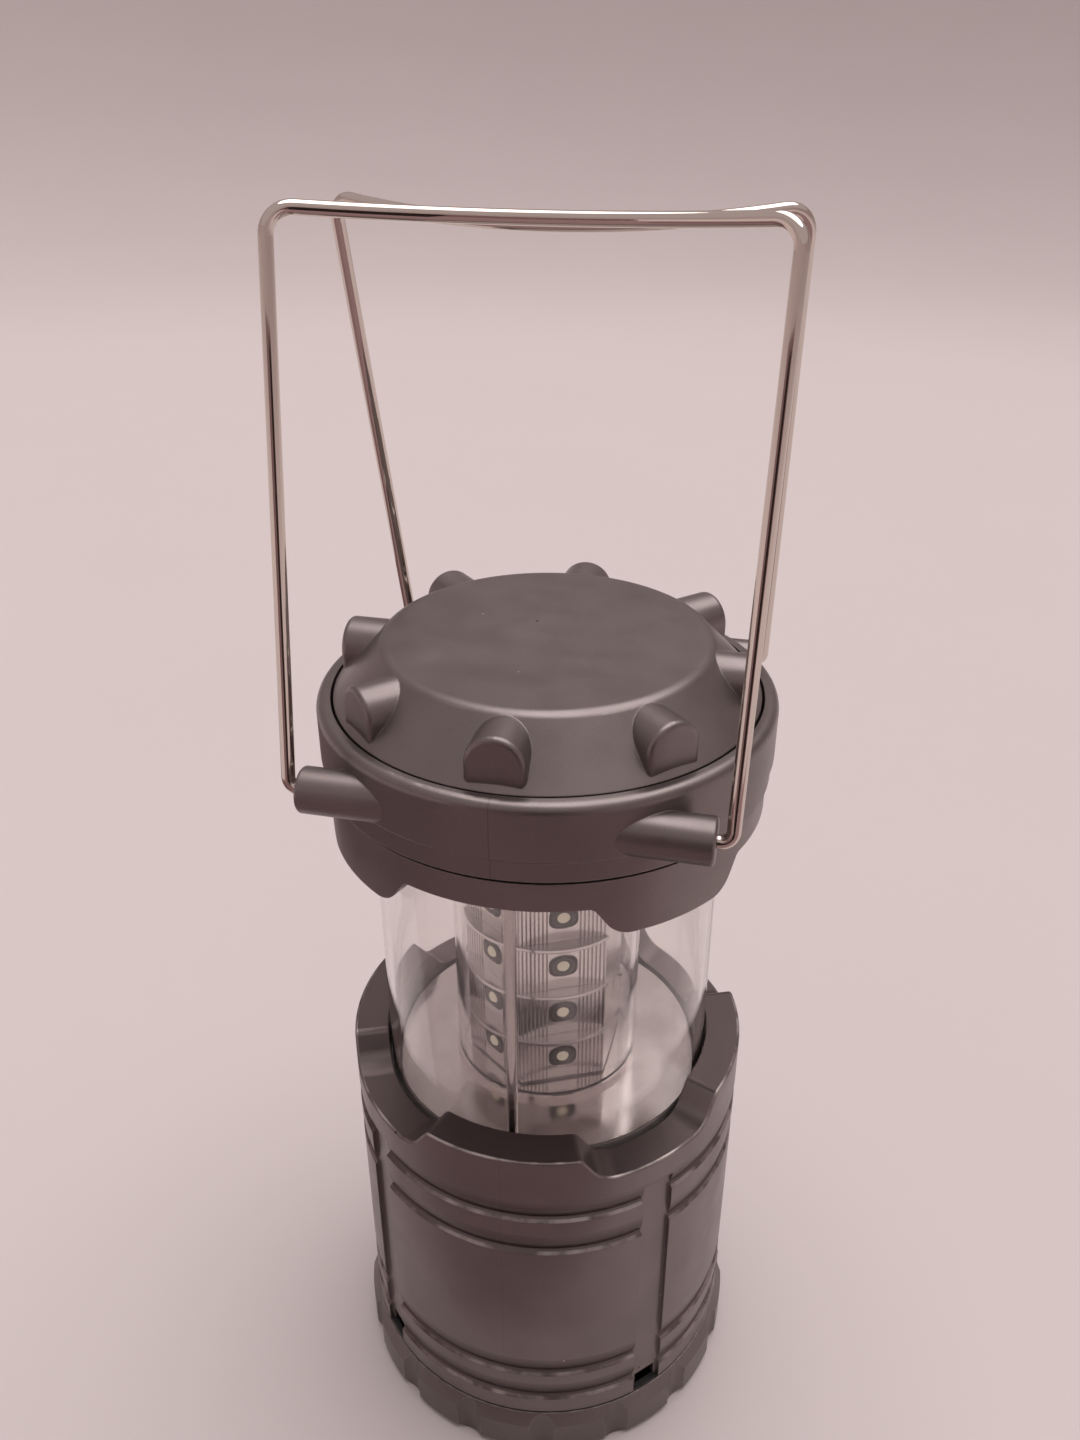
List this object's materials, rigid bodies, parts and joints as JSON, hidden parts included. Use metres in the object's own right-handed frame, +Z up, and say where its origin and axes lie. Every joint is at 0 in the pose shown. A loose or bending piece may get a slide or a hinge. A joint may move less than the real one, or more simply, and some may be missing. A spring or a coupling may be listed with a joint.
{
  "type": "pop-up camping lantern",
  "caption": "Collapsible camping lantern: a lamp head with a clear globe slides up out of a drum body, with swinging wire bails on top and a twist-off battery base.",
  "frame": {"origin": "middle of the underside of the base cap, where the lantern stands", "axes": "+Z up along the axis of the drum; -Y is the front, towards one wire bail; +X along the bail pivots"},
  "size_m": [0.088, 0.088, 0.2591],
  "materials": {
    "shell_paint": "satin gunmetal paint",
    "base_paint": "satin gunmetal paint",
    "black_plastic": "moulded",
    "white_plastic": "moulded",
    "clear_plastic": "clear polished",
    "plated_plastic": "bright plated",
    "bright_wire": "polished",
    "steel": "turned",
    "brass_contact": "stamped",
    "rubber_seal": "moulded",
    "cell_can": "wrapped",
    "circuit_board": "coated",
    "lamp_lens": "clear domed"
  },
  "bodies": {
    "body": {"body_shell": "shell_paint", "guide_sleeve": "black_plastic", "battery_tray": "black_plastic", "battery_1": "cell_can", "battery_2": "cell_can", "battery_3": "cell_can", "contact_plates": "brass_contact", "contact_springs": "brass_contact", "contact_strips": "brass_contact", "deck_screws": "steel"},
    "base": {"base_cap": "base_paint", "base_seal": "rubber_seal"},
    "head": {"carrier": "white_plastic", "contact_fingers": "brass_contact", "reflector_disc": "plated_plastic", "globe": "clear_plastic", "lens_tube": "clear_plastic", "front_reflector": "plated_plastic", "back_reflector": "plated_plastic", "front_rod": "steel", "back_rod": "steel", "rod_nuts": "steel", "crown_ring": "shell_paint", "head_plate": "white_plastic", "driver_board": "circuit_board", "driver_components": "black_plastic", "head_screws": "steel", "handle_collar": "shell_paint", "top_cap": "shell_paint", "led_board_front_left": "circuit_board", "leds_front_left": "lamp_lens", "led_board_front_right": "circuit_board", "leds_front_right": "lamp_lens", "led_board_back_right": "circuit_board", "leds_back_right": "lamp_lens", "led_board_back_left": "circuit_board", "leds_back_left": "lamp_lens"},
    "front_bail": {"front_bail": "bright_wire"},
    "back_bail": {"back_bail": "bright_wire"}
  },
  "joints": [
    {"name": "head_slide", "type": "slide", "parent": "body", "child": "head", "axis": [0, 0, 1], "range_m": [-0.06, 0]},
    {"name": "base_twist", "type": "hinge", "parent": "body", "child": "base", "pos_m": [0, 0, 0], "axis": [0, 0, 1], "range_deg": [-30, 0]},
    {"name": "front_bail_swing", "type": "hinge", "parent": "head", "child": "front_bail", "pos_m": [0, -0.0344, 0.1662], "axis": [1, 0, 0], "range_deg": [-3, 190]},
    {"name": "back_bail_swing", "type": "hinge", "parent": "head", "child": "back_bail", "pos_m": [0, 0.0344, 0.1662], "axis": [-1, 0, 0], "range_deg": [0, 193]}
  ]
}
